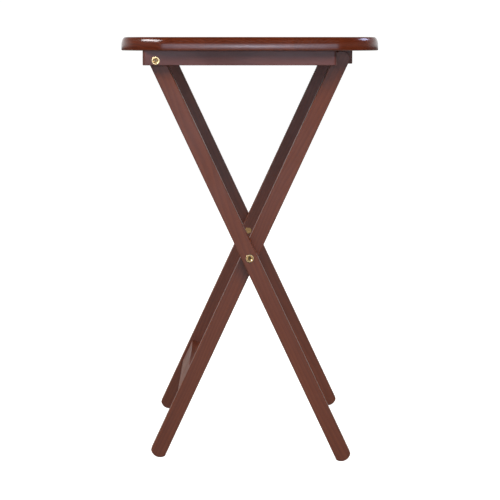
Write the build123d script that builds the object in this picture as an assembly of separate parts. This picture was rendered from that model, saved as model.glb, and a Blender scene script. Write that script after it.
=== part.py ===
from build123d import *
import math
import os

# Folding tray table, in millimetres.
# +Z is up and the floor is Z = 0. Y runs along the pivots. X runs the way the legs open:
# the outer legs lean to -X at the top, the inner legs lean to +X.
# Each side is drawn at -Y, the right-hand side, and the left-hand side is its mirror image.

# ---- driving dimensions: tray top ----
table_height = 655.0
top_depth = 395.5
top_width = 480.0
top_thickness = 20.5
top_corner_radius = 86.0
top_edge_inset = 6.5
top_edge_drop = 13.0
top_lower_round = 2.0

# ---- driving dimensions: legs ----
leg_width = 24.0
leg_thickness = 22.0
leg_end_radius = 14.5
leg_corner_round = 2.0
leg_edge_round = 1.2
outer_legs_span = 406.0
cross_pivot_height = 317.6
top_pivot_x = -141.5
prop_x = 139.5
washer_gap = 2.0
seat_clearance = 0.3

# ---- driving dimensions: side rails ----
rail_length = 292.0
rail_height = 22.0
rail_thickness = 18.0
rail_end_beyond_pivot = 20.0
rail_end_round = 5.0
rail_edge_round = 1.0
rail_screw_inset = 50.0

# ---- driving dimensions: inner frame crosspieces ----
stretcher_width = 41.0
stretcher_thickness = 16.0
stretcher_height = 101.5
stretcher_edge_round = 1.5
top_bar_width = 18.0
top_bar_thickness = 14.0
top_bar_inset = 0.5
top_bar_below_leg_end = 6.5
top_bar_edge_round = 1.0

# ---- driving dimensions: stop batten ----
batten_length = 306.0
batten_height = 20.5
batten_thickness = 13.0
batten_edge_round = 1.0
batten_screw_spacing = 110.0

# ---- driving dimensions: pivot bolts and sleeve nuts ----
bolt_head_radius = 6.35
bolt_head_height = 1.8
bolt_head_round = 0.7
bolt_dish_radius = 4.1
bolt_dish_depth = 1.0
bolt_hex_flat = 4.5
bolt_hex_depth = 3.0
bolt_shank_radius = 2.95
bolt_shank_length = 26.0
sleeve_radius = 4.0
sleeve_short_of_head = 0.5
sleeve_bore_extra = 2.0
sleeve_flange_radius = 5.25
sleeve_flange_height = 1.2
sleeve_flange_round = 0.4
sleeve_hex_flat = 4.0
sleeve_hex_depth = 0.8
flange_recess_depth = 1.4
flange_recess_clearance = 0.3
washer_radius = 8.0
running_clearance = 0.05
end_play = 0.1

# ---- driving dimensions: wood screws and dowels ----
screw_head_radius = 3.8
screw_head_height = 2.4
screw_head_round = 1.2
screw_shank_radius = 2.0
screw_cross_length = 4.4
screw_cross_width = 0.9
screw_cross_depth = 1.3
rail_screw_length = 28.0
batten_screw_length = 26.0
counterbore_radius = 4.2
counterbore_depth = 6.0
stretcher_dowel_radius = 4.0
stretcher_dowel_spacing = 22.0
top_bar_dowel_radius = 2.5
top_bar_dowel_spacing = 9.0
dowel_depth_in_leg = 14.0
dowel_depth_in_bar = 20.0
glue_gap = 0.05

# ---- derived places ----
underside = table_height - top_thickness
pivot_drop = leg_end_radius + seat_clearance
top_pivot_height = underside - pivot_drop
pivot_rise = top_pivot_height - cross_pivot_height
foot_drop = cross_pivot_height - leg_end_radius
outer_lean = math.degrees(math.atan2(top_pivot_x, pivot_rise))
inner_lean = math.degrees(math.atan2(prop_x, pivot_rise))
outer_head_reach = math.hypot(top_pivot_x, pivot_rise)
inner_head_reach = math.hypot(prop_x, pivot_rise)
outer_foot_reach = foot_drop / math.cos(math.radians(outer_lean))
inner_foot_reach = foot_drop / math.cos(math.radians(inner_lean))

outer_leg_face = outer_legs_span / 2
outer_leg_back = outer_leg_face - leg_thickness
inner_leg_face = outer_leg_back - washer_gap
inner_leg_back = inner_leg_face - leg_thickness
rail_back = outer_leg_face + washer_gap
rail_face = rail_back + rail_thickness
rail_start_x = top_pivot_x - rail_end_beyond_pivot
rail_middle_x = rail_start_x + rail_length / 2
rail_middle_y = -(rail_back + rail_thickness / 2)
top_bar_front = top_bar_thickness + top_bar_inset - leg_width / 2
top_bar_middle_p = top_bar_front - top_bar_thickness / 2
top_bar_top = inner_head_reach + leg_end_radius - top_bar_below_leg_end


def in_leg_frame(lean, piece):
    """Tilt a piece drawn on an upright leg, cross pivot at the origin, to that leg's lean."""
    return Pos(0, 0, cross_pivot_height) * Rot(0, lean, 0) * piece


def inner_leg_point(across, along):
    """Row X and Z of a point given across and along the inner leg from the cross pivot."""
    angle = math.radians(inner_lean)
    x = across * math.cos(angle) + along * math.sin(angle)
    z = cross_pivot_height + along * math.cos(angle) - across * math.sin(angle)
    return x, z


# the stop batten stands just in front of the top bar's upper front corner
top_bar_corner_x = inner_leg_point(top_bar_front, top_bar_top)[0]
batten_middle_x = top_bar_corner_x + seat_clearance + batten_thickness / 2


def pivot_bore(radius, depth, face, x, z):
    """Cylinder that runs inwards, towards +Y, from the plane Y = -face."""
    tool = Cylinder(radius, depth, align=(Align.CENTER, Align.CENTER, Align.MIN))
    return Pos(x, -face, z) * Rot(-90, 0, 0) * tool


def mirrored(piece):
    """Return the left-hand copy of a right-hand piece."""
    return mirror(piece, about=Plane.XZ)


# ---- tray top ----
def top_outline(height):
    """Outline of the tray top at the given height, a loop that starts in the middle of a straight side."""
    x, y, radius = top_depth / 2, top_width / 2, top_corner_radius
    inner_x, inner_y = x - radius, y - radius
    mid = radius * math.sqrt(0.5)
    sides = [Line((x, 0), (x, inner_y))]
    for turn_x, turn_y in ((1, 1), (-1, 1), (-1, -1), (1, -1)):
        corner = (turn_x * inner_x, turn_y * inner_y)
        ends = [(turn_x * x, corner[1]), (corner[0], turn_y * y)]
        if turn_x * turn_y < 0:
            ends.reverse()
        halfway = (corner[0] + turn_x * mid, corner[1] + turn_y * mid)
        sides.append(ThreePointArc(ends[0], halfway, ends[1]))
    sides.append(Line((x, -inner_y), (x, 0)))
    sides += [Line((inner_x, y), (-inner_x, y)), Line((-x, inner_y), (-x, -inner_y)),
              Line((-inner_x, -y), (inner_x, -y))]
    return Pos(0, 0, height) * Wire(sides)


def upper_edge_cutter():
    """What an elliptical moulding cutter takes off round the upper edge."""
    start = Plane(origin=(top_depth / 2, 0, top_thickness), x_dir=(1, 0, 0), z_dir=(0, -1, 0))
    curve = EllipticalCenterArc((-top_edge_inset, -top_edge_drop), top_edge_inset, top_edge_drop,
                                start_angle=0, arc_size=90)
    outside = Polyline((-top_edge_inset, 0), (-top_edge_inset, 1), (1, 1), (1, -top_edge_drop),
                       (0, -top_edge_drop))
    section = start * make_face(curve.edges() + outside.edges())
    return sweep(section, path=top_outline(top_thickness), transition=Transition.ROUND)


def make_tabletop():
    slab = extrude(make_face(top_outline(0)), amount=top_thickness)
    slab = fillet(slab.edges().group_by(Axis.Z)[0], top_lower_round)
    slab -= upper_edge_cutter()
    slab = Pos(0, 0, underside) * slab
    for x, y in rail_screw_places() + mirrored_places(rail_screw_places()):
        slab -= screw_pilot(x, y, underside - rail_height, rail_screw_length)
    for x, y in batten_screw_places():
        slab -= screw_pilot(x, y, underside - batten_height, batten_screw_length)
    return slab


def make_side_rail():
    plan = RectangleRounded(rail_length, rail_thickness, rail_end_round)
    rail = extrude(plan, amount=rail_height)
    rail = fillet(rail.edges().group_by(Axis.Z)[0], rail_edge_round)
    rail = Pos(rail_middle_x, rail_middle_y, underside - rail_height) * rail
    rail -= pivot_bore(sleeve_radius + running_clearance, rail_thickness, rail_face,
                       top_pivot_x, top_pivot_height)
    for x, y in rail_screw_places():
        rail -= screw_hole(x, y, underside - rail_height, rail_height)
    return rail


def make_stop_batten():
    batten = Box(batten_thickness, batten_length, batten_height,
                 align=(Align.CENTER, Align.CENTER, Align.MIN))
    batten = fillet(batten.edges().group_by(Axis.Z)[0], batten_edge_round)
    batten = Pos(batten_middle_x, 0, underside - batten_height) * batten
    for x, y in batten_screw_places():
        batten -= screw_hole(x, y, underside - batten_height, batten_height)
    return batten


# ---- wood screws ----
def rail_screw_places():
    reach = rail_length / 2 - rail_screw_inset
    return [(rail_middle_x + step * reach, rail_middle_y) for step in (-1, 0, 1)]


def batten_screw_places():
    return [(batten_middle_x, step * batten_screw_spacing) for step in (-1, 0, 1)]


def mirrored_places(places):
    return [(x, -y) for x, y in places]


def screw_hole(x, y, bottom, height):
    """Counterbore from below, and a clearance hole through the piece."""
    up = (Align.CENTER, Align.CENTER, Align.MIN)
    hole = Cylinder(counterbore_radius, counterbore_depth, align=up)
    hole += Cylinder(screw_shank_radius + glue_gap, height, align=up)
    return Pos(x, y, bottom) * hole


def screw_pilot(x, y, bottom, length):
    """Blind hole that the screw's end stands in."""
    up = (Align.CENTER, Align.CENTER, Align.MIN)
    reach = counterbore_depth + length + glue_gap
    return Pos(x, y, bottom) * Cylinder(screw_shank_radius + glue_gap, reach, align=up)


def make_screw(x, y, bottom, length):
    """Pan-head screw that points up, with its head seated in the counterbore."""
    up = (Align.CENTER, Align.CENTER, Align.MIN)
    down = (Align.CENTER, Align.CENTER, Align.MAX)
    head = Cylinder(screw_head_radius, screw_head_height, align=down)
    head = fillet(head.edges().sort_by(Axis.Z)[0], screw_head_round)
    arm = Box(screw_cross_length, screw_cross_width, screw_cross_depth, align=up)
    recess = arm + Rot(0, 0, 90) * arm
    screw = head + Cylinder(screw_shank_radius, length, align=up)
    screw -= Pos(0, 0, -screw_head_height) * recess
    return Pos(x, y, bottom + counterbore_depth) * screw


def make_rail_screws():
    places = rail_screw_places() + mirrored_places(rail_screw_places())
    bottom = underside - rail_height
    return Compound([make_screw(x, y, bottom, rail_screw_length) for x, y in places])


def make_batten_screws():
    bottom = underside - batten_height
    return Compound([make_screw(x, y, bottom, batten_screw_length) for x, y in batten_screw_places()])


# ---- legs ----
def leg_blank(foot_reach, head_reach, face):
    """Upright leg with round ends, its outer face on Y = -face and the cross pivot at Z = 0."""
    half = leg_width / 2
    shoulder = math.sqrt(leg_end_radius ** 2 - half ** 2)
    top = head_reach + shoulder
    bottom = -foot_reach - shoulder
    outline = make_face([
        Line((half, bottom), (half, top)),
        ThreePointArc((half, top), (0, head_reach + leg_end_radius), (-half, top)),
        Line((-half, top), (-half, bottom)),
        ThreePointArc((-half, bottom), (0, -foot_reach - leg_end_radius), (half, bottom)),
    ])
    outline = fillet(outline.vertices(), leg_corner_round)
    blank = extrude(Plane.XZ.offset(face) * outline, amount=-leg_thickness)
    ends = blank.edges().group_by(Axis.Y)
    return fillet(ends[0] + ends[-1], leg_edge_round)


def make_outer_leg():
    leg = in_leg_frame(outer_lean, leg_blank(outer_foot_reach, outer_head_reach, outer_leg_face))
    bore = sleeve_radius + running_clearance
    leg -= pivot_bore(bore, leg_thickness, outer_leg_face, 0, cross_pivot_height)
    leg -= pivot_bore(bore, leg_thickness, outer_leg_face, top_pivot_x, top_pivot_height)
    recess_face = outer_leg_back + flange_recess_depth
    leg -= pivot_bore(sleeve_flange_radius + flange_recess_clearance, flange_recess_depth,
                      recess_face, top_pivot_x, top_pivot_height)
    return leg


def make_inner_leg():
    leg = in_leg_frame(inner_lean, leg_blank(inner_foot_reach, inner_head_reach, inner_leg_face))
    bore = sleeve_radius + running_clearance
    leg -= pivot_bore(bore, leg_thickness, inner_leg_face, 0, cross_pivot_height)
    for x, z, radius in stretcher_dowel_places() + top_bar_dowel_places():
        mouth = inner_leg_back + dowel_depth_in_leg + glue_gap
        leg -= pivot_bore(radius + glue_gap, dowel_depth_in_leg + glue_gap, mouth, x, z)
    return leg


# ---- crosspieces of the inner frame ----
def stretcher_along():
    return (stretcher_height - cross_pivot_height) / math.cos(math.radians(inner_lean))


def top_bar_along():
    return top_bar_top - top_bar_width / 2


def stretcher_dowel_places():
    middle = stretcher_along()
    step = stretcher_dowel_spacing / 2
    places = [inner_leg_point(0, middle - step), inner_leg_point(0, middle + step)]
    return [(x, z, stretcher_dowel_radius) for x, z in places]


def top_bar_dowel_places():
    middle = top_bar_along()
    step = top_bar_dowel_spacing / 2
    places = [inner_leg_point(top_bar_middle_p, middle - step),
              inner_leg_point(top_bar_middle_p, middle + step)]
    return [(x, z, top_bar_dowel_radius) for x, z in places]


def make_crosspiece(thickness, width, across, along, edge_round, dowel_places):
    """Board between the inner legs, bored at both ends for its dowels."""
    board = Box(thickness, 2 * inner_leg_back, width)
    long_edges = board.edges().filter_by(Axis.Y)
    board = fillet(long_edges, edge_round)
    board = in_leg_frame(inner_lean, Pos(across, 0, along) * board)
    for x, z, radius in dowel_places:
        bore = pivot_bore(radius + glue_gap, dowel_depth_in_bar + glue_gap, inner_leg_back, x, z)
        board -= bore
        board -= mirrored(bore)
    return board


def make_lower_stretcher():
    return make_crosspiece(stretcher_thickness, stretcher_width, 0, stretcher_along(),
                           stretcher_edge_round, stretcher_dowel_places())


def make_top_bar():
    return make_crosspiece(top_bar_thickness, top_bar_width, top_bar_middle_p, top_bar_along(),
                           top_bar_edge_round, top_bar_dowel_places())


def make_dowels(places):
    """Dowels at both ends of a crosspiece, half in the board and half in the leg."""
    face = inner_leg_back + dowel_depth_in_leg
    length = dowel_depth_in_leg + dowel_depth_in_bar
    right = [pivot_bore(radius, length, face, x, z) for x, z, radius in places]
    left = [mirrored(dowel) for dowel in right]
    return Compound(right + left)


# ---- pivot hardware ----
def make_bolt(face, x, z):
    """Flanged bolt, its head on the outer face Y = -face and its shank running inwards."""
    outer = face + end_play
    up = (Align.CENTER, Align.CENTER, Align.MIN)
    head = Cylinder(bolt_head_radius, bolt_head_height, align=up)
    head = fillet(head.edges().sort_by(Axis.Z)[0], bolt_head_round)
    shank = Cylinder(bolt_shank_radius, bolt_head_height + bolt_shank_length, align=up)
    dish = Cone(bolt_dish_radius, bolt_hex_flat / 2, bolt_dish_depth, align=up)
    hexagon = RegularPolygon(bolt_hex_flat / 2, 6, major_radius=False)
    socket = extrude(hexagon, amount=bolt_dish_depth + bolt_hex_depth)
    bolt = head + shank - dish - socket
    return Pos(x, -outer - bolt_head_height, z) * Rot(-90, 0, 0) * bolt


def make_sleeve(face, back, x, z):
    """Sleeve nut whose flange seats on Y = -back and whose barrel reaches almost to Y = -face."""
    up = (Align.CENTER, Align.CENTER, Align.MIN)
    barrel_length = face - back - sleeve_short_of_head
    flange = Cylinder(sleeve_flange_radius, sleeve_flange_height, align=up)
    flange = fillet(flange.edges().sort_by(Axis.Z)[0], sleeve_flange_round)
    barrel = Cylinder(sleeve_radius, sleeve_flange_height + barrel_length, align=up)
    bore_length = bolt_shank_length + sleeve_bore_extra
    bore = Cylinder(bolt_shank_radius + running_clearance, bore_length,
                    align=(Align.CENTER, Align.CENTER, Align.MAX))
    hexagon = RegularPolygon(sleeve_hex_flat / 2, 6, major_radius=False)
    sleeve = flange + barrel
    sleeve -= Pos(0, 0, sleeve_flange_height + barrel_length) * bore
    sleeve -= extrude(hexagon, amount=sleeve_hex_depth)
    return Pos(x, -back + sleeve_flange_height, z) * Rot(90, 0, 0) * sleeve


def make_washer(outer_face, x, z):
    """Spacer washer in the gap just inside the plane Y = -outer_face."""
    thickness = washer_gap - end_play
    ring = pivot_bore(washer_radius, thickness, outer_face - end_play / 2, x, z)
    hole = pivot_bore(sleeve_radius + running_clearance, thickness, outer_face - end_play / 2, x, z)
    return ring - hole


def make_top_pivot_bolt():
    return make_bolt(rail_face, top_pivot_x, top_pivot_height)


def make_top_pivot_sleeve():
    seat = outer_leg_back + flange_recess_depth - end_play
    return make_sleeve(rail_face, seat, top_pivot_x, top_pivot_height)


def make_top_pivot_washer():
    return make_washer(rail_back, top_pivot_x, top_pivot_height)


def make_cross_pivot_bolt():
    return make_bolt(outer_leg_face, 0, cross_pivot_height)


def make_cross_pivot_sleeve():
    return make_sleeve(outer_leg_face, inner_leg_back, 0, cross_pivot_height)


def make_cross_pivot_washer():
    return make_washer(outer_leg_back, 0, cross_pivot_height)


def main():
    single = {
        "tabletop": make_tabletop,
        "stop_batten": make_stop_batten,
        "rail_screws": make_rail_screws,
        "batten_screws": make_batten_screws,
        "lower_stretcher": make_lower_stretcher,
        "top_bar": make_top_bar,
    }
    paired = {
        "side_rail": make_side_rail,
        "outer_leg": make_outer_leg,
        "inner_leg": make_inner_leg,
        "top_pivot_bolt": make_top_pivot_bolt,
        "top_pivot_sleeve": make_top_pivot_sleeve,
        "top_pivot_washer": make_top_pivot_washer,
        "cross_pivot_bolt": make_cross_pivot_bolt,
        "cross_pivot_sleeve": make_cross_pivot_sleeve,
        "cross_pivot_washer": make_cross_pivot_washer,
    }
    nodes = {name: make() for name, make in single.items()}
    nodes["stretcher_dowels"] = make_dowels(stretcher_dowel_places())
    nodes["top_bar_dowels"] = make_dowels(top_bar_dowel_places())
    for name, make in paired.items():
        right = make()
        nodes[name + "_right"] = right
        nodes[name + "_left"] = mirrored(right)
    os.makedirs("parts", exist_ok=True)
    for name, piece in nodes.items():
        export_step(piece, f"parts/{name}.step")


main()
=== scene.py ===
import math

import bmesh
import bpy
from bpy.props import FloatProperty, FloatVectorProperty, IntProperty, PointerProperty
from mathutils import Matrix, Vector


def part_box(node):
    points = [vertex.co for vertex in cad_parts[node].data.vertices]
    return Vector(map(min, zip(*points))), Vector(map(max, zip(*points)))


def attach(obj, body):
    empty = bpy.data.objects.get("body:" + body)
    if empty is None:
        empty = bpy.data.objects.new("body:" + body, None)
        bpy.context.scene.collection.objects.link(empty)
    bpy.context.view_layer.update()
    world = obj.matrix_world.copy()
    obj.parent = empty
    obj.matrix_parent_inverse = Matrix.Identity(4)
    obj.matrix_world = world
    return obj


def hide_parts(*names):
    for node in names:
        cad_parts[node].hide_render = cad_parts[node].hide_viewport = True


bl_info = {
    "name": "Folding tray table",
    "version": (1, 0, 0),
    "blender": (4, 5, 0),
    "location": "3D View > Sidebar > Tray Table",
    "description": "Builds the finish, fittings and studio stage of a wooden folding tray table",
    "category": "Object",
}

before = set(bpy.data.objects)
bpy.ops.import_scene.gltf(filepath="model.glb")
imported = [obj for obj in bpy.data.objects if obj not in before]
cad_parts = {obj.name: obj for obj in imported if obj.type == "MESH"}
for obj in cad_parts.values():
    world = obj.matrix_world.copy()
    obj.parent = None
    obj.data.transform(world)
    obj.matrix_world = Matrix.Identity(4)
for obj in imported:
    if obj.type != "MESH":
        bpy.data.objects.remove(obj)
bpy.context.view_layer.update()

MM = 0.001
SIDES = ("right", "left")
# lean of the legs from the upright, about Y
OUTER_LEAN = math.radians(-24.92)
INNER_LEAN = math.radians(24.61)
# lengths that differ by less than this are taken as equal
NEAR = 1e-5
# faces that meet at less than this angle are shaded as one round surface
SMOOTH_ANGLE = math.radians(35)
LACQUER_IOR = 1.5
NYLON_IOR = 1.53
# sockets of a colour Mix node, whose names the node's other types share
MIX_FACTOR, MIX_FIRST, MIX_SECOND, MIXED = 0, 6, 7, 2
WHITE = (1, 1, 1, 1)
# the camera's sensor in millimetres, and how far it sees in metres
SENSOR_WIDTH = 36
VIEW_DISTANCE = 200


# ---- settings ----
class WoodSettings(bpy.types.PropertyGroup):
    """Colours and sizes of the stained and lacquered wood"""

    top_light: FloatVectorProperty(
        name="Top light wood", description="Stain colour of the early wood on the tray top",
        subtype="COLOR", size=3, min=0, max=1, default=(0.110, 0.019, 0.0045))
    top_dark: FloatVectorProperty(
        name="Top dark wood", description="Stain colour of the late wood on the tray top",
        subtype="COLOR", size=3, min=0, max=1, default=(0.060, 0.0095, 0.0025))
    frame_light: FloatVectorProperty(
        name="Frame light wood", description="Stain colour of the early wood on the frame",
        subtype="COLOR", size=3, min=0, max=1, default=(0.142, 0.032, 0.0095))
    frame_dark: FloatVectorProperty(
        name="Frame dark wood", description="Stain colour of the late wood on the frame",
        subtype="COLOR", size=3, min=0, max=1, default=(0.078, 0.0160, 0.0045))
    # the rail colours are the stain with a painted bluish sheen mixed in, which makes them greyer
    # than the frame's
    rail_light: FloatVectorProperty(
        name="Rail light wood",
        description="Stain colour of the early wood on the greyer side rails",
        subtype="COLOR", size=3, min=0, max=1, default=(0.128, 0.041, 0.034))
    rail_dark: FloatVectorProperty(
        name="Rail dark wood",
        description="Stain colour of the late wood on the greyer side rails",
        subtype="COLOR", size=3, min=0, max=1, default=(0.072, 0.021, 0.018))
    dowel_colour: FloatVectorProperty(
        name="Dowel wood", description="Colour of the unstained beech dowels",
        subtype="COLOR", size=3, min=0, max=1, default=(0.62, 0.43, 0.26))
    board_width: FloatProperty(
        name="Board width", description="Width of one board of the glued tray top",
        subtype="DISTANCE", unit="LENGTH", min=0.02, max=0.2, default=0.0664)
    ring_spacing: FloatProperty(
        name="Ring spacing", description="Distance between growth rings",
        subtype="DISTANCE", unit="LENGTH", min=0.001, max=0.02, default=0.0042)
    top_coat: FloatProperty(
        name="Top lacquer", description="Weight of the clear gloss lacquer on the tray top",
        subtype="FACTOR", min=0, max=1, default=1.0)
    top_coat_roughness: FloatProperty(
        name="Top lacquer roughness", description="How matt the lacquer on the tray top is",
        subtype="FACTOR", min=0, max=1, default=0.17)


class TraySettings(bpy.types.PropertyGroup):
    """Shape of the tray top"""

    corner_radius: FloatProperty(
        name="Corner radius", description="Radius of the tray top's corners, seen from above",
        subtype="DISTANCE", unit="LENGTH", min=0.01, max=0.15, default=0.086)
    edge_inset: FloatProperty(
        name="Edge inset", description="How far the moulded upper edge reaches in from the side",
        subtype="DISTANCE", unit="LENGTH", min=0.001, max=0.02, default=0.0065)
    edge_drop: FloatProperty(
        name="Edge drop", description="How far the moulded upper edge reaches down the side",
        subtype="DISTANCE", unit="LENGTH", min=0.001, max=0.018, default=0.013)
    lower_round: FloatProperty(
        name="Lower round", description="Radius of the tray top's lower edge",
        subtype="DISTANCE", unit="LENGTH", min=0.0005, max=0.006, default=0.002)
    corner_segments: IntProperty(
        name="Corner segments", description="Faces round each corner", min=6, max=64, default=28)
    edge_segments: IntProperty(
        name="Edge segments", description="Faces over the upper round", min=3, max=24, default=12)


class MetalSettings(bpy.types.PropertyGroup):
    """Colours and sizes of the fittings"""

    brass: FloatVectorProperty(
        name="Brass", description="Colour of polished brass",
        subtype="COLOR", size=3, min=0, max=1, default=(0.64, 0.46, 0.24))
    brass_tarnish: FloatVectorProperty(
        name="Brass tarnish", description="Colour of brass that has dulled",
        subtype="COLOR", size=3, min=0, max=1, default=(0.44, 0.27, 0.11))
    sleeve_brass: FloatVectorProperty(
        name="Sleeve brass", description="Colour of the duller brass of the sleeve nuts",
        subtype="COLOR", size=3, min=0, max=1, default=(0.44, 0.26, 0.105))
    steel: FloatVectorProperty(
        name="Steel", description="Colour of the zinc-plated screws",
        subtype="COLOR", size=3, min=0, max=1, default=(0.60, 0.59, 0.55))
    head_radius: FloatProperty(
        name="Bolt head radius", description="Radius of a pivot bolt's head",
        subtype="DISTANCE", unit="LENGTH", min=0.004, max=0.02, default=0.00635)
    shank_radius: FloatProperty(
        name="Bolt shank radius", description="Radius of a pivot bolt's shank",
        subtype="DISTANCE", unit="LENGTH", min=0.001, max=0.01, default=0.00295)
    dish_radius: FloatProperty(
        name="Dish radius", description="Radius of the dish in a bolt's head, at its face",
        subtype="DISTANCE", unit="LENGTH", min=0.002, max=0.01, default=0.0042)
    dish_depth: FloatProperty(
        name="Dish depth", description="Depth of the dish in a bolt's head",
        subtype="DISTANCE", unit="LENGTH", min=0.0002, max=0.0017, default=0.00145)
    socket_flat: FloatProperty(
        name="Socket width", description="Width across flats of the hexagon socket in a bolt",
        subtype="DISTANCE", unit="LENGTH", min=0.001, max=0.005, default=0.0045)
    flange_radius: FloatProperty(
        name="Sleeve flange radius", description="Radius of a sleeve nut's flange",
        subtype="DISTANCE", unit="LENGTH", min=0.004, max=0.02, default=0.00525)
    nylon: FloatVectorProperty(
        name="Nylon", description="Colour of the spacer washers",
        subtype="COLOR", size=3, min=0, max=1, default=(0.055, 0.045, 0.040))


class StageSettings(bpy.types.PropertyGroup):
    """Floor, lights and camera"""

    floor_colour: FloatVectorProperty(
        name="Floor", description="Colour of the floor",
        subtype="COLOR", size=3, min=0, max=1, default=(0.32, 0.32, 0.32))
    floor_glow: FloatProperty(
        name="Floor glow",
        description="How much brighter the floor looks to the camera than it is lit",
        min=0, max=2, default=1.0)
    floor_size: FloatProperty(
        name="Floor size", description="Side of the square floor",
        subtype="DISTANCE", unit="LENGTH", min=2, max=200, default=80.0)
    room_brightness: FloatProperty(
        name="Room brightness", description="Strength of the light from the whole room",
        min=0, max=5, default=0.065)
    wall_gloss: FloatProperty(
        name="Wall in reflections",
        description="Brightness of the room near the level, as reflections see it",
        min=0, max=5, default=0.32)
    backdrop_gloss: FloatProperty(
        name="Backdrop in reflections",
        description="Brightness of the white backdrop behind the table, as reflections see it",
        min=0, max=5, default=0.95)
    ceiling_gloss: FloatProperty(
        name="Ceiling share",
        description="Brightness of the ceiling in reflections, as a share of the walls'",
        subtype="FACTOR", min=0, max=1, default=0.22)
    camera_distance: FloatProperty(
        name="Camera distance", description="From the camera to the middle of the table",
        subtype="DISTANCE", unit="LENGTH", min=0.5, max=20, default=2.6604)
    camera_height: FloatProperty(
        name="Camera height", description="Height of the camera above the floor",
        subtype="DISTANCE", unit="LENGTH", min=0, max=5, default=0.655)
    camera_across: FloatProperty(
        name="Camera across",
        description="How far the camera stands to the right of the table's middle",
        subtype="DISTANCE", unit="LENGTH", min=-5, max=5, default=-0.0166)
    camera_pitch: FloatProperty(
        name="Camera pitch", description="How far the camera looks down",
        subtype="ANGLE", unit="ROTATION", min=-1.5, max=1.5, default=math.radians(5.751))
    lens: FloatProperty(
        name="Lens", description="Focal length on a 36 mm wide sensor",
        unit="CAMERA", min=10, max=500, default=116.54)
    shift_x: FloatProperty(
        name="Shift across", description="Sideways shift of the lens",
        min=-0.2, max=0.2, default=0.0221)
    shift_y: FloatProperty(
        name="Shift up", description="Upward shift of the lens",
        min=-0.2, max=0.2, default=-0.10)


# ---- node helpers ----
def set_sockets(node, **values):
    """Set input sockets by name; an underscore stands for a space."""
    for name, value in values.items():
        node.inputs[name.replace("_", " ")].default_value = value


def new_node(tree, kind, **values):
    """Add a node and set its named sockets."""
    node = tree.nodes.new(kind)
    set_sockets(node, **values)
    return node


def link(tree, source, out, target, into):
    tree.links.new(source.outputs[out], target.inputs[into])


def feed(tree, socket, value):
    """Link a (node, output) pair to a socket, or set the socket to a plain value."""
    if isinstance(value, tuple) and isinstance(value[0], bpy.types.Node):
        tree.links.new(value[0].outputs[value[1]], socket)
    else:
        socket.default_value = value


def math_node(tree, operation, first, second=None, third=None):
    """Add a Math node; each of its inputs is a number or a (node, output) pair."""
    node = tree.nodes.new("ShaderNodeMath")
    node.operation = operation
    for place, value in enumerate((first, second, third)):
        if value is not None:
            feed(tree, node.inputs[place], value)
    return node


def vector_node(tree, operation, first, second):
    """Add a Vector Math node; each of its inputs is a vector or a (node, output) pair."""
    node = tree.nodes.new("ShaderNodeVectorMath")
    node.operation = operation
    feed(tree, node.inputs[0], first)
    feed(tree, node.inputs[1], second)
    return node


def range_node(tree, source, out, low, high, new_low, new_high):
    """Add a Map Range node that clamps."""
    node = new_node(tree, "ShaderNodeMapRange",
                    From_Min=low, From_Max=high, To_Min=new_low, To_Max=new_high)
    link(tree, source, out, node, "Value")
    return node


def radius_node(tree, apart, first, second):
    """Distance from an axis, from two components of a separated vector."""
    first_square = math_node(tree, "MULTIPLY", (apart, first), (apart, first))
    second_square = math_node(tree, "MULTIPLY", (apart, second), (apart, second))
    total = math_node(tree, "ADD", (first_square, 0), (second_square, 0))
    return math_node(tree, "SQRT", (total, 0))


def stretched_noise(tree, source, stretch, detail, roughness):
    """Add a noise texture whose space is scaled along each axis by stretch."""
    way = new_node(tree, "ShaderNodeMapping", Scale=stretch)
    link(tree, source, 0, way, "Vector")
    noise = new_node(tree, "ShaderNodeTexNoise", Scale=1.0, Detail=detail, Roughness=roughness)
    link(tree, way, 0, noise, "Vector")
    return noise


def mix_colour(tree, factor, first, second, blend="MIX"):
    """Add a colour Mix node; each of its inputs is a value or a (node, output) pair."""
    node = tree.nodes.new("ShaderNodeMix")
    node.data_type = "RGBA"
    node.blend_type = blend
    for place, value in ((MIX_FACTOR, factor), (MIX_FIRST, first), (MIX_SECOND, second)):
        feed(tree, node.inputs[place], value)
    return node


def mix_shaders(tree, factor, first, second):
    """Add a Mix Shader node between two shader nodes; factor is a (node, output) pair."""
    node = tree.nodes.new("ShaderNodeMixShader")
    feed(tree, node.inputs[0], factor)
    link(tree, first, 0, node, 1)
    link(tree, second, 0, node, 2)
    return node


def rgba(colour, share=1.0):
    """A colour with its alpha, made darker or brighter by a share."""
    return (colour[0] * share, colour[1] * share, colour[2] * share, 1.0)


def new_group(name, inputs, outputs):
    """Start a shader node group with named sockets; return it with its input and output nodes."""
    group = bpy.data.node_groups.new(name, "ShaderNodeTree")
    for label, kind, default in inputs:
        socket = group.interface.new_socket(name=label, in_out="INPUT", socket_type=kind)
        if default is not None:
            socket.default_value = default
    for label, kind in outputs:
        group.interface.new_socket(name=label, in_out="OUTPUT", socket_type=kind)
    return group, group.nodes.new("NodeGroupInput"), group.nodes.new("NodeGroupOutput")


def place_group(tree, group, **values):
    """Place a node group and set its named sockets."""
    node = tree.nodes.new("ShaderNodeGroup")
    node.node_tree = group
    set_sockets(node, **values)
    return node


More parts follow.
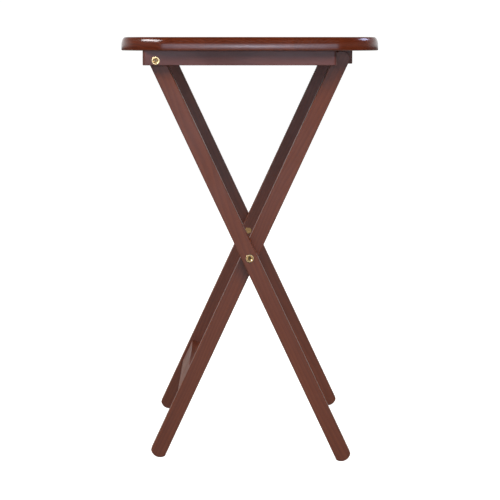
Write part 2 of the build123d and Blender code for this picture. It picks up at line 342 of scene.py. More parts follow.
# ---- shared effects ----
def build_wood_figure():
    """Growth rings round a pith that runs along X, long fibres and open pores."""
    group, source, result = new_group(
        "Wood figure",
        [("Vector", "NodeSocketVector", None),
         ("Light", "NodeSocketColor", (0.2, 0.05, 0.02, 1)),
         ("Dark", "NodeSocketColor", (0.1, 0.02, 0.01, 1)),
         ("Ring Spacing", "NodeSocketFloat", 0.0042),
         ("Ring Strength", "NodeSocketFloat", 0.5),
         ("Seed", "NodeSocketFloat", 0.0)],
        [("Colour", "NodeSocketColor"), ("Height", "NodeSocketFloat")])
    shift = new_node(group, "ShaderNodeCombineXYZ")
    for axis, amount in (("X", 3.7), ("Y", 0.31), ("Z", 0.23)):
        step = math_node(group, "MULTIPLY", (source, "Seed"), amount)
        link(group, step, 0, shift, axis)
    moved = vector_node(group, "ADD", (source, "Vector"), (shift, 0))

    # rings: the pith wanders slowly along the board, and the late wood ends each ring sharply
    wander = stretched_noise(group, moved, (2.2, 9.0, 9.0), 2.0, 0.5)
    centred = vector_node(group, "SUBTRACT", (wander, "Color"), Vector((0.5, 0.5, 0.5)))
    swing = vector_node(group, "MULTIPLY", (centred, 0), Vector((0.0, 0.055, 0.055)))
    bent = vector_node(group, "ADD", (source, "Vector"), (swing, 0))
    apart = new_node(group, "ShaderNodeSeparateXYZ")
    link(group, bent, 0, apart, 0)
    radius = radius_node(group, apart, "Y", "Z")
    rings = math_node(group, "DIVIDE", (radius, 0), (source, "Ring Spacing"))
    tooth = math_node(group, "FRACT", (rings, 0))
    early = range_node(group, tooth, 0, 0.0, 0.72, 0.0, 1.0)
    late = range_node(group, tooth, 0, 0.86, 1.0, 1.0, 0.0)
    ring = math_node(group, "MULTIPLY", (early, 0), (late, 0))

    # fine fibres and broader streaks along the board
    fibre = stretched_noise(group, moved, (7.0, 420.0, 420.0), 4.0, 0.6)
    broad = stretched_noise(group, moved, (3.0, 70.0, 70.0), 3.0, 0.55)

    # pores: short dark dashes
    pore_way = new_node(group, "ShaderNodeMapping", Scale=(110.0, 1500.0, 1500.0))
    link(group, moved, 0, pore_way, "Vector")
    pore = new_node(group, "ShaderNodeTexVoronoi", Scale=1.0, Randomness=1.0)
    link(group, pore_way, 0, pore, "Vector")
    dash = range_node(group, pore, "Distance", 0.10, 0.24, 1.0, 0.0)

    ring_part = math_node(group, "MULTIPLY", (ring, 0), (source, "Ring Strength"))
    fibre_part = math_node(group, "MULTIPLY", (fibre, "Fac"), 0.45)
    broad_part = math_node(group, "MULTIPLY", (broad, "Fac"), 0.85)
    mixed = math_node(group, "ADD", (fibre_part, 0), (broad_part, 0))
    mixed = math_node(group, "ADD", (mixed, 0), (ring_part, 0))
    light = range_node(group, mixed, 0, 0.40, 1.15, 0.0, 1.0)
    shade = mix_colour(group, (light, 0), (source, "Dark"), (source, "Light"))
    pore_depth = math_node(group, "MULTIPLY", (dash, 0), 0.35)
    pore_colour = (0.012, 0.004, 0.002, 1)
    dotted = mix_colour(group, (pore_depth, 0), (shade, MIXED), pore_colour)
    link(group, dotted, MIXED, result, "Colour")
    drop = math_node(group, "MULTIPLY", (dash, 0), -0.5)
    relief = math_node(group, "ADD", (fibre_part, 0), (drop, 0))
    link(group, relief, 0, result, "Height")
    return group


def build_glued_boards():
    """Split the object into boards across X and give each its own grain place and tone."""
    group, source, result = new_group(
        "Glued boards",
        [("Vector", "NodeSocketVector", None), ("Board Width", "NodeSocketFloat", 0.066)],
        [("Vector", "NodeSocketVector"), ("Tone", "NodeSocketFloat"),
         ("Joint", "NodeSocketFloat")])
    apart = new_node(group, "ShaderNodeSeparateXYZ")
    link(group, source, "Vector", apart, 0)
    share = math_node(group, "DIVIDE", (apart, "X"), (source, "Board Width"))
    board = math_node(group, "FLOOR", (share, 0))
    place = math_node(group, "FRACT", (share, 0))
    chance = new_node(group, "ShaderNodeTexWhiteNoise")
    chance.noise_dimensions = "1D"
    seed = 17.0
    seeded = math_node(group, "ADD", (board, 0), seed)
    link(group, seeded, 0, chance, "W")
    link(group, chance, "Value", result, "Tone")

    # each board is cut from another part of the log: its pith lies below it and to one side
    parts = new_node(group, "ShaderNodeSeparateColor")
    link(group, chance, "Color", parts, 0)
    inside = math_node(group, "SUBTRACT", (place, 0), 0.5)
    inside = math_node(group, "MULTIPLY", (inside, 0), (source, "Board Width"))
    aside = range_node(group, parts, "Red", 0.0, 1.0, -0.030, 0.030)
    across = math_node(group, "ADD", (inside, 0), (aside, 0))
    below = range_node(group, parts, "Green", 0.0, 1.0, 0.018, 0.075)
    through = math_node(group, "ADD", (apart, "Z"), (below, 0))
    jump = math_node(group, "MULTIPLY", (board, 0), 1.37)
    along = math_node(group, "ADD", (apart, "Y"), (jump, 0))
    joined = new_node(group, "ShaderNodeCombineXYZ")
    link(group, along, 0, joined, "X")
    link(group, across, 0, joined, "Y")
    link(group, through, 0, joined, "Z")
    link(group, joined, 0, result, "Vector")
    middle = math_node(group, "ABSOLUTE", (inside, 0))
    half = math_node(group, "MULTIPLY", (source, "Board Width"), 0.5)
    gap = math_node(group, "SUBTRACT", (half, 0), (middle, 0))
    line_width = 0.45 * MM
    line = range_node(group, gap, 0, 0.0, line_width, 1.0, 0.0)
    link(group, line, 0, result, "Joint")
    return group


def build_hand_marks():
    """Soft smears and fine dust that change how glossy a finish is."""
    group, source, result = new_group(
        "Hand marks",
        [("Vector", "NodeSocketVector", None),
         ("Low", "NodeSocketFloat", 0.3), ("High", "NodeSocketFloat", 0.4)],
        [("Roughness", "NodeSocketFloat"), ("Smear", "NodeSocketFloat")])
    soft = new_node(group, "ShaderNodeTexNoise", Scale=9.0, Detail=3.0, Roughness=0.5)
    link(group, source, "Vector", soft, "Vector")
    fine = new_node(group, "ShaderNodeTexNoise", Scale=160.0, Detail=2.0, Roughness=0.6)
    link(group, source, "Vector", fine, "Vector")
    both = math_node(group, "MULTIPLY_ADD", (fine, "Fac"), 0.35, (soft, "Fac"))
    smear = range_node(group, both, 0, 0.50, 0.85, 0.0, 1.0)
    spread = math_node(group, "SUBTRACT", (source, "High"), (source, "Low"))
    rough = math_node(group, "MULTIPLY_ADD", (smear, 0), (spread, 0), (source, "Low"))
    link(group, rough, 0, result, "Roughness")
    link(group, smear, 0, result, "Smear")
    return group


def build_turned_metal():
    """Tool rings round Y, centred where the vector is zero, tarnish, and painted shade in the
    recess.
    """
    group, source, result = new_group(
        "Turned metal",
        [("Vector", "NodeSocketVector", None),
         ("Bright", "NodeSocketColor", (0.8, 0.6, 0.3, 1)),
         ("Dull", "NodeSocketColor", (0.5, 0.3, 0.1, 1)),
         ("Low", "NodeSocketFloat", 0.2), ("High", "NodeSocketFloat", 0.35),
         ("Recess Radius", "NodeSocketFloat", 0.0027)],
        [("Colour", "NodeSocketColor"), ("Roughness", "NodeSocketFloat"),
         ("Height", "NodeSocketFloat")])
    apart = new_node(group, "ShaderNodeSeparateXYZ")
    link(group, source, "Vector", apart, 0)
    radius = radius_node(group, apart, "X", "Z")
    tool_feed = 0.22 * MM
    turns = math_node(group, "MULTIPLY", (radius, 0), 2 * math.pi / tool_feed)
    ring = math_node(group, "SINE", (turns, 0))
    link(group, ring, 0, result, "Height")
    patch = new_node(group, "ShaderNodeTexNoise", Scale=320.0, Detail=4.0, Roughness=0.6)
    link(group, source, "Vector", patch, "Vector")
    dull = range_node(group, patch, "Fac", 0.45, 0.75, 0.0, 1.0)
    shade = mix_colour(group, (dull, 0), (source, "Bright"), (source, "Dull"))

    # painted shade of the recess fades in from a little outside it
    rim = math_node(group, "MULTIPLY", (source, "Recess Radius"), 1.25)
    inward = math_node(group, "SUBTRACT", (rim, 0), (radius, 0))
    reach = math_node(group, "DIVIDE", (inward, 0), (source, "Recess Radius"))
    recess = range_node(group, reach, 0, 0.0, 0.45, 0.0, 0.85)
    # colour of the painted shade inside the recess
    recess_shade_colour = (0.05, 0.025, 0.010, 1)
    recess_shaded = mix_colour(group, (recess, 0), (shade, MIXED), recess_shade_colour)
    link(group, recess_shaded, MIXED, result, "Colour")
    spread = math_node(group, "SUBTRACT", (source, "High"), (source, "Low"))
    rough = math_node(group, "MULTIPLY_ADD", (dull, 0), (spread, 0), (source, "Low"))
    link(group, rough, 0, result, "Roughness")
    return group


def shared(name):
    """Return a shared effect, building it the first time."""
    makers = {"Wood figure": build_wood_figure, "Glued boards": build_glued_boards,
              "Hand marks": build_hand_marks, "Turned metal": build_turned_metal}
    return bpy.data.node_groups.get(name) or makers[name]()


# ---- materials ----
def empty_material(name):
    """Start a material; return it with its tree and its output node."""
    material = bpy.data.materials.new(name)
    material.use_nodes = True
    tree = material.node_tree
    tree.nodes.clear()
    return material, tree, tree.nodes.new("ShaderNodeOutputMaterial")


def new_material(name):
    """Start a material; return it with its tree, its Principled shader and its coordinates."""
    material, tree, output = empty_material(name)
    shader = tree.nodes.new("ShaderNodeBsdfPrincipled")
    link(tree, shader, 0, output, "Surface")
    return material, tree, shader, tree.nodes.new("ShaderNodeTexCoord")


def add_bump(tree, shader, source, out, strength, distance):
    """Let a height output of source bend the shader's normal."""
    bump = new_node(tree, "ShaderNodeBump", Strength=strength, Distance=distance)
    link(tree, source, out, bump, "Height")
    link(tree, bump, 0, shader, "Normal")


def add_marks(tree, shader, source, out, low, high):
    """Let hand marks vary the shader's roughness from low to high; return their node."""
    marks = place_group(tree, shared("Hand marks"), Low=low, High=high)
    link(tree, source, out, marks, "Vector")
    link(tree, marks, "Roughness", shader, "Roughness")
    return marks


def tray_top_wood(settings):
    """Gloss-lacquered walnut stain over glued boards whose grain runs along Y."""
    material, tree, shader, coordinates = new_material("Tray top lacquered wood")
    centred = new_node(tree, "ShaderNodeMapping", Location=(0, 0, -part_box("tabletop")[0].z))
    link(tree, coordinates, "Object", centred, "Vector")
    boards = place_group(tree, shared("Glued boards"), Board_Width=settings.board_width)
    link(tree, centred, 0, boards, "Vector")
    wood = place_group(tree, shared("Wood figure"), Light=rgba(settings.top_light),
                       Dark=rgba(settings.top_dark), Ring_Spacing=settings.ring_spacing,
                       Ring_Strength=0.42)
    link(tree, boards, "Vector", wood, "Vector")
    link(tree, boards, "Tone", wood, "Seed")
    tone = range_node(tree, boards, "Tone", 0.0, 1.0, 0.90, 1.08)
    toned = mix_colour(tree, 1.0, (wood, "Colour"), (tone, 0), "MULTIPLY")
    joint_depth = math_node(tree, "MULTIPLY", (boards, "Joint"), 0.5)
    joint_colour = (0.02, 0.006, 0.003, 1)
    base = mix_colour(tree, (joint_depth, 0), (toned, MIXED), joint_colour)
    link(tree, base, MIXED, shader, "Base Color")
    add_marks(tree, shader, coordinates, "Object", 0.26, 0.40)
    add_bump(tree, shader, wood, "Height", 0.06, 0.3 * MM)
    set_sockets(shader, IOR=LACQUER_IOR, Specular_IOR_Level=0.06, Coat_Weight=settings.top_coat,
                Coat_Roughness=settings.top_coat_roughness, Coat_IOR=LACQUER_IOR)
    return material


def frame_wood(settings, name, turn, pith, seed, tone="frame"):
    """Satin-lacquered walnut stain.

    turn lays the grain's X along the piece, and pith is its distance from the log's heart.
    """
    material, tree, shader, coordinates = new_material(name)
    laid = new_node(tree, "ShaderNodeMapping", Rotation=turn)
    laid.vector_type = "TEXTURE"
    link(tree, coordinates, "Object", laid, "Vector")
    heart = new_node(tree, "ShaderNodeMapping", Location=(0, pith[0], pith[1]))
    link(tree, laid, 0, heart, "Vector")
    wood = place_group(tree, shared("Wood figure"), Light=rgba(getattr(settings, tone + "_light")),
                       Dark=rgba(getattr(settings, tone + "_dark")),
                       Ring_Spacing=settings.ring_spacing, Ring_Strength=0.30, Seed=seed)
    link(tree, heart, 0, wood, "Vector")
    link(tree, wood, "Colour", shader, "Base Color")
    add_marks(tree, shader, coordinates, "Object", 0.36, 0.50)
    add_bump(tree, shader, wood, "Height", 0.12, 0.3 * MM)
    set_sockets(shader, IOR=LACQUER_IOR)
    return material


def dowel_wood(settings):
    """Bare beech with its grain along Y."""
    material, tree, shader, coordinates = new_material("Beech dowel")
    laid = new_node(tree, "ShaderNodeMapping", Rotation=(0, 0, math.pi / 2))
    link(tree, coordinates, "Object", laid, "Vector")
    wood = place_group(tree, shared("Wood figure"), Light=rgba(settings.dowel_colour),
                       Dark=rgba(settings.dowel_colour, 0.7), Ring_Spacing=0.003)
    link(tree, laid, 0, wood, "Vector")
    link(tree, wood, "Colour", shader, "Base Color")
    add_bump(tree, shader, wood, "Height", 0.2, 0.3 * MM)
    set_sockets(shader, Roughness=0.7)
    return material


def turned_metal(name, bright, dull, centre, low, high, recess):
    """Metal with tool rings round centre, an (X, Z) pair, and painted shade inside the recess
    radius.
    """
    material, tree, shader, coordinates = new_material(name)
    placed = new_node(tree, "ShaderNodeMapping", Location=(-centre[0], 0, -centre[1]))
    link(tree, coordinates, "Object", placed, "Vector")
    metal = place_group(tree, shared("Turned metal"), Bright=rgba(bright), Dull=rgba(dull),
                        Low=low, High=high, Recess_Radius=recess)
    link(tree, placed, 0, metal, "Vector")
    link(tree, metal, "Colour", shader, "Base Color")
    link(tree, metal, "Roughness", shader, "Roughness")
    add_bump(tree, shader, metal, "Height", 0.04, 0.05 * MM)
    set_sockets(shader, Metallic=1.0)
    return material


def smeared_finish(name, colour, smear_share, low, high, scale):
    """Start a material of one colour, which smears turn darker or brighter by a share."""
    material, tree, shader, coordinates = new_material(name)
    larger = new_node(tree, "ShaderNodeMapping", Scale=(scale, scale, scale))
    link(tree, coordinates, "Object", larger, "Vector")
    marks = add_marks(tree, shader, larger, 0, low, high)
    shade = mix_colour(tree, (marks, "Smear"), rgba(colour), rgba(colour, smear_share))
    link(tree, shade, MIXED, shader, "Base Color")
    return material, tree, shader, marks


def screw_steel(settings):
    """Zinc-plated steel."""
    material, _, shader, _ = smeared_finish(
        "Zinc-plated steel", settings.steel, 0.72, 0.28, 0.48, 12)
    set_sockets(shader, Metallic=1.0)
    return material


def washer_nylon(settings):
    """Dark nylon with a faint moulded texture."""
    material, tree, shader, marks = smeared_finish(
        "Washer nylon", settings.nylon, 1.5, 0.42, 0.58, 8)
    add_bump(tree, shader, marks, "Smear", 0.1, 0.2 * MM)
    set_sockets(shader, IOR=NYLON_IOR)
    return material


# ---- modelling helpers ----
def start_fresh():
    """Leave edit mode and deselect everything."""
    if bpy.context.object and bpy.context.object.mode != "OBJECT":
        bpy.ops.object.mode_set(mode="OBJECT")
    bpy.ops.object.select_all(action="DESELECT")


def name_active(name):
    """Name the active object and its mesh."""
    piece = bpy.context.object
    piece.name = name
    piece.data.name = name
    return piece


def select_parts(piece, kind, wanted):
    """In edit mode, select exactly the parts of a kind (VERT, EDGE or FACE) that pass wanted."""
    bpy.ops.mesh.select_mode(type=kind)
    bpy.ops.mesh.select_all(action="DESELECT")
    shape = bmesh.from_edit_mesh(piece.data)
    for part in {"VERT": shape.verts, "EDGE": shape.edges, "FACE": shape.faces}[kind]:
        if wanted(part):
            part.select_set(True)
    shape.select_flush_mode()
    bmesh.update_edit_mesh(piece.data)


def block(name, low, high):
    """Add a cube primitive that fills the box from low to high, with its place in its mesh."""
    start_fresh()
    bpy.ops.mesh.primitive_cube_add(size=1, location=(low + high) / 2, scale=high - low)
    bpy.ops.object.transform_apply(location=True, rotation=True, scale=True)
    return name_active(name)


def round_selected(offset, segments):
    """In edit mode, bevel the selected edges to a round."""
    bpy.ops.mesh.bevel(offset=offset, offset_type="OFFSET", segments=segments, profile=0.5,
                       affect="EDGES", clamp_overlap=False)


def finish_mesh(piece):
    """Tidy the mesh, point its faces outwards and smooth its rounds."""
    bpy.ops.object.mode_set(mode="EDIT")
    bpy.ops.mesh.select_all(action="SELECT")
    bpy.ops.mesh.remove_doubles(threshold=1e-6)
    bpy.ops.mesh.normals_make_consistent(inside=False)
    bpy.ops.object.mode_set(mode="OBJECT")
    bpy.ops.object.shade_smooth_by_angle(angle=SMOOTH_ANGLE)


def lathe(name, rings, segments=60):
    """Turn a closed piece round Y: a disc, extruded and scaled to each (radius, y) ring in turn."""
    start_fresh()
    radius, y = rings[0]
    bpy.ops.mesh.primitive_circle_add(vertices=segments, radius=radius, fill_type="NGON",
                                      location=(0, y, 0), rotation=(math.pi / 2, 0, 0))
    bpy.ops.object.transform_apply(location=True, rotation=True, scale=True)
    piece = name_active(name)
    bpy.ops.object.mode_set(mode="EDIT")
    bpy.ops.mesh.select_all(action="SELECT")
    for next_radius, next_y in rings[1:]:
        bpy.ops.mesh.extrude_region_move(TRANSFORM_OT_translate={"value": (0, next_y - y, 0)})
        share = next_radius / radius
        bpy.ops.transform.resize(value=(share, 1, share), center_override=(0, next_y, 0))
        radius, y = next_radius, next_y
    bpy.ops.object.mode_set(mode="OBJECT")
    return piece


def rounded_rim(radius, round_radius, back, steps=5):
    """Rings over a rounded rim, from the side of a turned piece to its flat end at y = 0.

    back is +1 where the side lies at +y, and -1 where it lies at -y.
    """
    rings = []
    for step in range(steps + 1):
        turn = math.pi / 2 * step / steps
        rings.append((radius - round_radius * (1 - math.cos(turn)),
                      back * round_radius * (1 - math.sin(turn))))
    return rings


def cut_hexagon(piece, flat, front, depth):
    """Cut a hexagon socket into the end of a turned piece and soften its sharp edges."""
    start_fresh()
    bpy.ops.mesh.primitive_cylinder_add(vertices=6, radius=flat / math.sqrt(3), depth=2 * depth,
                                        location=(0, front, 0), rotation=(math.pi / 2, 0, 0))
    cutter = bpy.context.object
    start_fresh()
    bpy.context.view_layer.objects.active = piece
    cut = piece.modifiers.new("Hexagon socket", "BOOLEAN")
    cut.operation = "DIFFERENCE"
    cut.solver = "EXACT"
    cut.object = cutter
    soften = piece.modifiers.new("Softened edges", "BEVEL")
    soften.width = 0.06 * MM
    soften.segments = 2
    soften.limit_method = "ANGLE"
    soften.angle_limit = math.radians(40)
    for modifier in (cut, soften):
        bpy.ops.object.modifier_apply(modifier=modifier.name)
    bpy.data.objects.remove(cutter)


def place_copy(model, name, place, turned):
    """Copy a piece with its own mesh, turn it half round if asked, and put it in its place."""
    start_fresh()
    model.select_set(True)
    bpy.context.view_layer.objects.active = model
    bpy.ops.object.duplicate(linked=False)
    piece = name_active(name)
    piece.location = place
    piece.rotation_euler.z = math.pi if turned else 0
    bpy.ops.object.transform_apply(location=True, rotation=True, scale=True)
    return piece


def coat(piece, material):
    """Make this a piece's only finish."""
    piece.data.materials.clear()
    piece.data.materials.append(material)


def clothe(node, material):
    """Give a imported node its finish."""
    coat(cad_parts[node], material)


def settings_of(context, name):
    return getattr(context.scene, "tray_table_" + name)


# ---- operators ----
class TRAYTABLE_OT_tray_top(bpy.types.Operator):
    """Model the tray top with its rounded corners and edges, and lacquer it"""

    bl_idname = "tray_table.tray_top"
    bl_label = "Tray Top"

    def execute(self, context):
        sizes = settings_of(context, "tray")
        low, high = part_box("tabletop")
        top = block("tray_top", low, high)
        bpy.ops.object.mode_set(mode="EDIT")
        select_parts(top, "EDGE", lambda e: abs(e.verts[0].co.z - e.verts[1].co.z) > NEAR)
        round_selected(sizes.corner_radius, sizes.corner_segments)
        select_parts(top, "EDGE", lambda e: all(abs(v.co.z - high.z) < NEAR for v in e.verts))
        round_selected(sizes.edge_inset, sizes.edge_segments)
        # the bevel is as deep as it is wide, so it is drawn down to the depth of the moulded edge
        select_parts(top, "VERT", lambda v: v.co.z > high.z - sizes.edge_inset * 1.001)
        bpy.ops.transform.resize(value=(1, 1, sizes.edge_drop / sizes.edge_inset),
                                 center_override=(0, 0, high.z))
        select_parts(top, "EDGE", lambda e: all(abs(v.co.z - low.z) < NEAR for v in e.verts))
        round_selected(sizes.lower_round, max(3, sizes.edge_segments // 2))
        # a narrow band round each flat face keeps the smooth shading of the rounds off it
        for side in (1, -1):
            select_parts(top, "FACE", lambda f, side=side: f.normal.z * side > 0.9999)
            bpy.ops.mesh.inset(thickness=1.2 * MM, depth=0)
        finish_mesh(top)
        coat(top, tray_top_wood(settings_of(context, "wood")))
        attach(top, "tray_top")
        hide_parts("tabletop")
        return {"FINISHED"}


class TRAYTABLE_OT_frame_wood(bpy.types.Operator):
    """Stain and lacquer the legs, side rails and crosspieces"""

    bl_idname = "tray_table.frame_wood"
    bl_label = "Frame Wood"

    def execute(self, context):
        wood = settings_of(context, "wood")
        upright = -math.pi / 2
        # first part of the node's name, turn of the grain, distance from the heart, seed, tone
        pairs = (
            ("outer_leg", (0, upright + OUTER_LEAN, 0), (0.031, 0.045), 1.3, "frame"),
            ("inner_leg", (0, upright + INNER_LEAN, 0), (-0.026, 0.052), 5.1, "frame"),
            # the rail tone's stain colours carry a painted bluish sheen
            ("side_rail", (0, 0, 0), (0.028, -0.61), 9.4, "rail"),
        )
        for number, side in enumerate(SIDES):
            for stem, turn, pith, seed, tone in pairs:
                name = f"{stem.replace('_', ' ').capitalize()} wood {side}"
                clothe(f"{stem}_{side}", frame_wood(wood, name, turn, pith, seed + number, tone))
        along_y = (0, 0, math.pi / 2)
        for number, node in enumerate(("lower_stretcher", "top_bar", "stop_batten")):
            low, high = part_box(node)
            middle = (low + high) / 2
            name = node.replace("_", " ").capitalize() + " wood"
            pith = (middle.x + 0.03, -middle.z + 0.03)
            clothe(node, frame_wood(wood, name, along_y, pith, 12.7 + number))
        dowels = dowel_wood(wood)
        clothe("stretcher_dowels", dowels)
        clothe("top_bar_dowels", dowels)
        return {"FINISHED"}


class TRAYTABLE_OT_pivot_fittings(bpy.types.Operator):
    """Model the brass pivot bolts and sleeve nuts, and finish the nylon washers"""

    bl_idname = "tray_table.pivot_fittings"
    bl_label = "Pivot Fittings"

    def execute(self, context):
        metal = settings_of(context, "metal")
        nylon = washer_nylon(metal)
        for pivot, body in (("top_pivot", "outer_legs"), ("cross_pivot", "inner_frame")):
            low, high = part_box(pivot + "_bolt_right")
            sleeve_low, sleeve_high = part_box(pivot + "_sleeve_right")
            centre = ((low.x + high.x) / 2, (low.z + high.z) / 2)
            label = pivot.replace("_", " ").capitalize()
            # the last number is the radius inside which painted shade darkens the recess
            bolt_brass = turned_metal(label + " bolt brass", metal.brass, metal.brass_tarnish,
                                      centre, 0.22, 0.38, 2.7 * MM)
            sleeve_brass = turned_metal(label + " sleeve brass", metal.sleeve_brass,
                                        metal.brass_tarnish, centre, 0.34, 0.46, 0.4 * MM)
            bolt = self.model_bolt(high.y - low.y, metal)
            sleeve = self.model_sleeve(sleeve_high.y - sleeve_low.y, high.y - sleeve_low.y, metal)
            kinds = (("bolt", bolt, low.y, bolt_brass),
                     ("sleeve", sleeve, sleeve_high.y, sleeve_brass))
            for side in SIDES:
                turned = side == "left"
                for kind, model, face, brass in kinds:
                    node = f"{pivot}_{kind}_{side}"
                    place = (centre[0], -face if turned else face, centre[1])
                    piece = place_copy(model, "turned_" + node, place, turned)
                    coat(piece, brass)
                    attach(piece, body)
                    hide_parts(node)
                clothe(f"{pivot}_washer_{side}", nylon)
            bpy.data.objects.remove(bolt)
            bpy.data.objects.remove(sleeve)
        return {"FINISHED"}

    def model_bolt(self, length, metal):
        """A bolt with a dished head and a hexagon socket; its head faces -Y at y = 0."""
        head, shank, dish = metal.head_radius, metal.shank_radius, metal.dish_radius
        head_thickness, small_chamfer = 1.8 * MM, 0.2 * MM
        tip_radius, tip_chamfer = 2.45 * MM, 0.5 * MM
        dish_floor_radius, socket_bottom = 2.75 * MM, 3.0 * MM
        rings = [(tip_radius, length), (shank, length - tip_chamfer), (shank, head_thickness),
                 (head - small_chamfer, head_thickness), (head, head_thickness - small_chamfer)]
        rings += rounded_rim(head, 0.7 * MM, 1)
        rings += [(dish + 0.10 * MM, 0), (dish, 0.05 * MM), (dish_floor_radius, metal.dish_depth)]
        bolt = lathe("bolt", rings)
        cut_hexagon(bolt, metal.socket_flat, metal.dish_depth, socket_bottom - metal.dish_depth)
        finish_mesh(bolt)
        return bolt

    def model_sleeve(self, length, grip, metal):
        """A sleeve nut whose flange faces +Y at y = 0, with a bore from its far end.

        grip is how far the bolt reaches into it.
        """
        flange, flange_thickness, barrel = metal.flange_radius, 1.2 * MM, 4.0 * MM
        bore, bore_chamfer, small_chamfer = metal.shank_radius + 0.05 * MM, 0.3 * MM, 0.2 * MM
        room_past_bolt = 2.0 * MM
        rings = [(bore, -length + grip + room_past_bolt), (bore, -length + bore_chamfer),
                 (bore + bore_chamfer, -length), (barrel - small_chamfer, -length),
                 (barrel, -length + small_chamfer), (barrel, -flange_thickness),
                 (flange - small_chamfer, -flange_thickness),
                 (flange, -flange_thickness + small_chamfer)]
        rings += rounded_rim(flange, 0.4 * MM, -1)
        sleeve = lathe("sleeve", rings)
        cut_hexagon(sleeve, flat=4.0 * MM, front=0, depth=0.8 * MM)
        finish_mesh(sleeve)
        return sleeve


class TRAYTABLE_OT_screws(bpy.types.Operator):
    """Finish the wood screws under the side rails and the stop batten"""

    bl_idname = "tray_table.screws"
    bl_label = "Screws"

    def execute(self, context):
        steel = screw_steel(settings_of(context, "metal"))
        clothe("rail_screws", steel)
        clothe("batten_screws", steel)
        return {"FINISHED"}


WARM, COOL = (1, 0.97, 0.92), (0.66, 0.79, 1.0)
# name, place, aim, width, height, watts, colour, which kind of shading it lights
SOFTBOXES = (
    ("left_gloss_softbox", (-1.90, -1.10, 2.15), (0, 0, 0.40), 1.7, 0.7, 68,
     (0.94, 0.97, 1.0), "gloss"),
    ("left_back_fill", (-2.30, 0.45, 1.70), (0, 0, 0.30), 1.2, 1.0, 58, (1, 0.84, 0.60), "matt"),
    ("left_fill", (-2.30, -0.90, 1.90), (0, 0, 0.35), 1.4, 1.2, 6, WARM, "matt"),
    ("front_fill", (0.5, -2.7, 2.6), (0, 0, 0.35), 1.8, 1.4, 112, WARM, "matt"),
    ("back_fill", (1.7, 2.5, 2.1), (0, 0, 0.35), 1.8, 1.4, 75, WARM, "matt"),
    ("level_fill", (-0.25, -4.6, 0.95), (0, 0, 0.35), 0.9, 0.7, 22, WARM, "matt"),
    ("level_wide_panel", (0, -4.6, 0.90), (0, 0, 0.90), 5.2, 1.3, 56, COOL, "gloss"),
    ("level_middle_panel", (0, -4.6, 0.80), (0, 0, 0.80), 1.2, 1.0, 4, (1, 0.95, 0.88), "gloss"),
    ("middle_window", (0.06, -4.5, 0.63), (0, 0, 0.63), 0.34, 0.22, 4.2,
     (0.80, 0.86, 1.0), "gloss"),
    ("right_window", (1.95, 0.50, 1.90), (0, 0, 0.5), 0.9, 0.6, 17, (0.60, 0.66, 1.0), "gloss"),
)


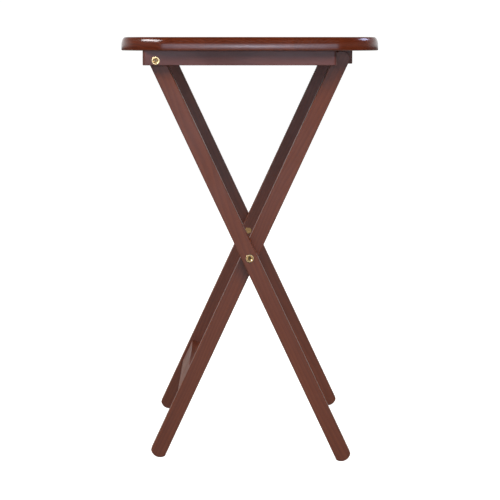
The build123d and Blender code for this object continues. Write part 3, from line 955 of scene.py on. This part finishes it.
class TRAYTABLE_OT_stage(bpy.types.Operator):
    """Lay the floor, set the soft lights and place the camera"""

    bl_idname = "tray_table.stage"
    bl_label = "Stage"

    def execute(self, context):
        stage = settings_of(context, "stage")
        self.lay_floor(stage)
        self.set_world(context.scene, stage)
        for softbox in SOFTBOXES:
            self.hang_softbox(context.scene, *softbox)
        self.place_camera(context.scene, stage)
        context.scene.view_settings.view_transform = "Standard"
        return {"FINISHED"}

    def lay_floor(self, stage):
        start_fresh()
        bpy.ops.mesh.primitive_plane_add(size=stage.floor_size, location=(0, 0, 0))
        floor = name_active("floor")
        material, tree, output = empty_material("Pale floor")
        shader = new_node(tree, "ShaderNodeBsdfPrincipled", Base_Color=rgba(stage.floor_colour),
                          Roughness=0.9, Emission_Color=WHITE)
        path = tree.nodes.new("ShaderNodeLightPath")
        glow = math_node(tree, "MULTIPLY", (path, "Is Camera Ray"), stage.floor_glow)
        link(tree, glow, 0, shader, "Emission Strength")
        # the floor is one-sided, so that the underside of the table can be looked at from below
        geometry = tree.nodes.new("ShaderNodeNewGeometry")
        clear = tree.nodes.new("ShaderNodeBsdfTransparent")
        one_sided = mix_shaders(tree, (geometry, "Backfacing"), shader, clear)
        link(tree, one_sided, 0, output, "Surface")
        coat(floor, material)

    def set_world(self, scene, stage):
        world = bpy.data.worlds.new("Pale room")
        scene.world = world
        world.use_nodes = True
        tree = world.node_tree
        tree.nodes.clear()
        output = tree.nodes.new("ShaderNodeOutputWorld")
        backdrop_white = 1.05
        seen = new_node(tree, "ShaderNodeBackground", Color=WHITE, Strength=backdrop_white)
        room = new_node(tree, "ShaderNodeBackground", Color=WHITE, Strength=stage.room_brightness)
        # reflections see a white backdrop, dimmer walls on the other sides and a dim ceiling
        direction = tree.nodes.new("ShaderNodeTexCoord")
        apart = new_node(tree, "ShaderNodeSeparateXYZ")
        link(tree, direction, "Generated", apart, 0)
        sides = range_node(tree, apart, "Y", 0.2, 0.7, stage.wall_gloss, stage.backdrop_gloss)
        height = range_node(tree, apart, "Z", 0.10, 0.45, 1.0, stage.ceiling_gloss)
        wall = math_node(tree, "MULTIPLY", (sides, 0), (height, 0))
        mirrored_room = new_node(tree, "ShaderNodeBackground", Color=WHITE)
        link(tree, wall, 0, mirrored_room, "Strength")
        path = tree.nodes.new("ShaderNodeLightPath")
        lit = mix_shaders(tree, (path, "Is Glossy Ray"), room, mirrored_room)
        mix = mix_shaders(tree, (path, "Is Camera Ray"), lit, seen)
        link(tree, mix, 0, output, "Surface")

    def hang_softbox(self, scene, name, place, aim, wide, tall, watts, colour, lights):
        """Hang a soft rectangular light that lights either gloss or matt shading."""
        light = bpy.data.lights.new(name, "AREA")
        light.shape = "RECTANGLE"
        light.size, light.size_y = wide, tall
        light.energy = watts
        light.color = colour
        lamp = bpy.data.objects.new(name, light)
        scene.collection.objects.link(lamp)
        lamp.visible_glossy = lights == "gloss"
        lamp.visible_diffuse = lights == "matt"
        lamp.location = place
        lamp.rotation_euler = (Vector(aim) - Vector(place)).to_track_quat("-Z", "Y").to_euler()

    def place_camera(self, scene, stage):
        lens = bpy.data.cameras.new("camera")
        lens.lens = stage.lens
        lens.sensor_width = SENSOR_WIDTH
        lens.shift_x, lens.shift_y = stage.shift_x, stage.shift_y
        lens.clip_end = VIEW_DISTANCE
        camera = bpy.data.objects.new("camera", lens)
        scene.collection.objects.link(camera)
        camera.location = (stage.camera_across, -stage.camera_distance, stage.camera_height)
        camera.rotation_euler = (math.pi / 2 - stage.camera_pitch, 0, 0)
        scene.camera = camera


class TRAYTABLE_PT_panel(bpy.types.Panel):
    """Lists what builds the tray table"""

    bl_idname = "TRAYTABLE_PT_panel"
    bl_label = "Tray Table"
    bl_space_type = "VIEW_3D"
    bl_region_type = "UI"
    bl_category = "Tray Table"

    def draw(self, context):
        for group in SETTINGS:
            box = self.layout.box()
            settings = settings_of(context, group)
            for name in settings.bl_rna.properties.keys():
                if name not in ("rna_type", "name"):
                    box.prop(settings, name)
        for operator in OPERATORS:
            self.layout.operator(operator.bl_idname)


SETTINGS = {"wood": WoodSettings, "tray": TraySettings, "metal": MetalSettings,
            "stage": StageSettings}
OPERATORS = (TRAYTABLE_OT_tray_top, TRAYTABLE_OT_frame_wood, TRAYTABLE_OT_pivot_fittings,
             TRAYTABLE_OT_screws, TRAYTABLE_OT_stage)


def register():
    for kind in (*SETTINGS.values(), *OPERATORS, TRAYTABLE_PT_panel):
        bpy.utils.register_class(kind)
    for name, kind in SETTINGS.items():
        setattr(bpy.types.Scene, "tray_table_" + name, PointerProperty(type=kind))


def unregister():
    for name in SETTINGS:
        delattr(bpy.types.Scene, "tray_table_" + name)
    for kind in reversed((*SETTINGS.values(), *OPERATORS, TRAYTABLE_PT_panel)):
        bpy.utils.unregister_class(kind)


def main():
    register()
    bpy.ops.tray_table.tray_top()
    bpy.ops.tray_table.frame_wood()
    bpy.ops.tray_table.pivot_fittings()
    bpy.ops.tray_table.screws()
    bpy.ops.tray_table.stage()


if __name__ == "__main__":
    main()
